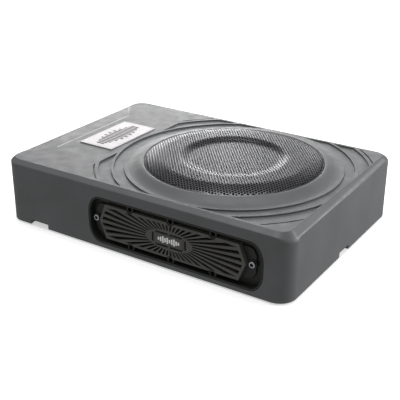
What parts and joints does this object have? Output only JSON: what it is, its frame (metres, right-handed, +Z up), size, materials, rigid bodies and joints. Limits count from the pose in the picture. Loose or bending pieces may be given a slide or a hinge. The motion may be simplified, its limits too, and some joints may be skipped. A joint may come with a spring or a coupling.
{
  "type": "powered car subwoofer",
  "caption": "Slim under-seat powered subwoofer: cast housing, domed mesh grille over a shallow woofer, sunburst vent in one long side, control panel in one short side.",
  "frame": {"origin": "centre of the footprint, on the surface that the feet rest on", "axes": "+Z up through the driver, +X along the long side towards the driver's end, -Y out of the vented long side"},
  "size_m": [0.345, 0.245, 0.0816],
  "materials": {
    "powder_coat": "fine satin powder coat",
    "mesh_steel": "satin, perforated",
    "black_plastic": "moulded, matt",
    "knob_plastic": "moulded, satin",
    "silver_badge": "satin",
    "filter_cloth": "black cloth",
    "zinc_steel": "zinc plated",
    "black_steel": "black coated",
    "rubber": "matt",
    "cone_paper": "coated paper",
    "ferrite": "ground ferrite",
    "copper_wire": "enamelled copper wire",
    "spider_cloth": "resin-treated weave",
    "circuit_board": "solder mask",
    "aluminium": "mill finish",
    "component_black": "moulded",
    "fuse_blue": "translucent moulded",
    "led_lens": "clear lens"
  },
  "bodies": {
    "chassis": {"amp_board": "circuit_board", "badge_plate": "silver_badge", "base_plate": "black_steel", "base_screw_1": "zinc_steel", "base_screw_2": "zinc_steel", "base_screw_3": "zinc_steel", "base_screw_4": "zinc_steel", "basket": "black_steel", "bass_pot": "zinc_steel", "capacitor_1": "component_black", "capacitor_2": "component_black", "control_panel": "black_plastic", "crossover_pot": "zinc_steel", "driver_gasket": "rubber", "driver_screw_1": "black_steel", "driver_screw_2": "black_steel", "driver_screw_3": "black_steel", "driver_screw_4": "black_steel", "driver_terminal": "zinc_steel", "foot_1": "rubber", "foot_2": "rubber", "foot_3": "rubber", "foot_4": "rubber", "fuse": "fuse_blue", "fuse_holder": "component_black", "gain_pot": "zinc_steel", "heatsink": "aluminium", "high_level_socket": "component_black", "housing": "powder_coat", "magnet": "ferrite", "mesh_grille": "mesh_steel", "phase_switch": "zinc_steel", "power_led": "led_lens", "power_socket": "component_black", "rca_block": "component_black", "remote_jack": "component_black", "top_plate": "zinc_steel", "transformer": "copper_wire", "transistor_1": "component_black", "transistor_2": "component_black", "vent_bezel": "black_plastic", "vent_emblem": "silver_badge", "vent_filter": "filter_cloth", "vent_grille": "black_plastic", "vent_screw_1": "zinc_steel", "vent_screw_2": "zinc_steel", "yoke": "zinc_steel"},
    "moving_cone": {"cone": "cone_paper", "dust_cap": "cone_paper", "coil_former": "aluminium", "coil_winding": "copper_wire", "surround": "rubber", "spider": "spider_cloth"},
    "gain_dial": {"gain_knob": "knob_plastic"},
    "crossover_dial": {"crossover_knob": "knob_plastic"},
    "bass_dial": {"bass_knob": "knob_plastic"},
    "phase_button": {"phase_slider": "knob_plastic"}
  },
  "joints": [
    {"name": "cone_travel", "type": "slide", "parent": "chassis", "child": "moving_cone", "axis": [0, 0, 1], "range_m": [-0.005, 0.005], "stiffness_N_per_m": 3500, "deforming": ["surround", "spider"]},
    {"name": "gain_turn", "type": "hinge", "parent": "chassis", "child": "gain_dial", "pos_m": [-0.168, -0.084, 0.035], "axis": [-1, 0, 0], "range_deg": [-150, 150]},
    {"name": "crossover_turn", "type": "hinge", "parent": "chassis", "child": "crossover_dial", "pos_m": [-0.168, -0.062, 0.035], "axis": [-1, 0, 0], "range_deg": [-150, 150]},
    {"name": "bass_turn", "type": "hinge", "parent": "chassis", "child": "bass_dial", "pos_m": [-0.168, -0.04, 0.035], "axis": [-1, 0, 0], "range_deg": [-150, 150]},
    {"name": "phase_slide", "type": "slide", "parent": "chassis", "child": "phase_button", "axis": [0, 1, 0], "range_m": [0, 0.004]}
  ]
}
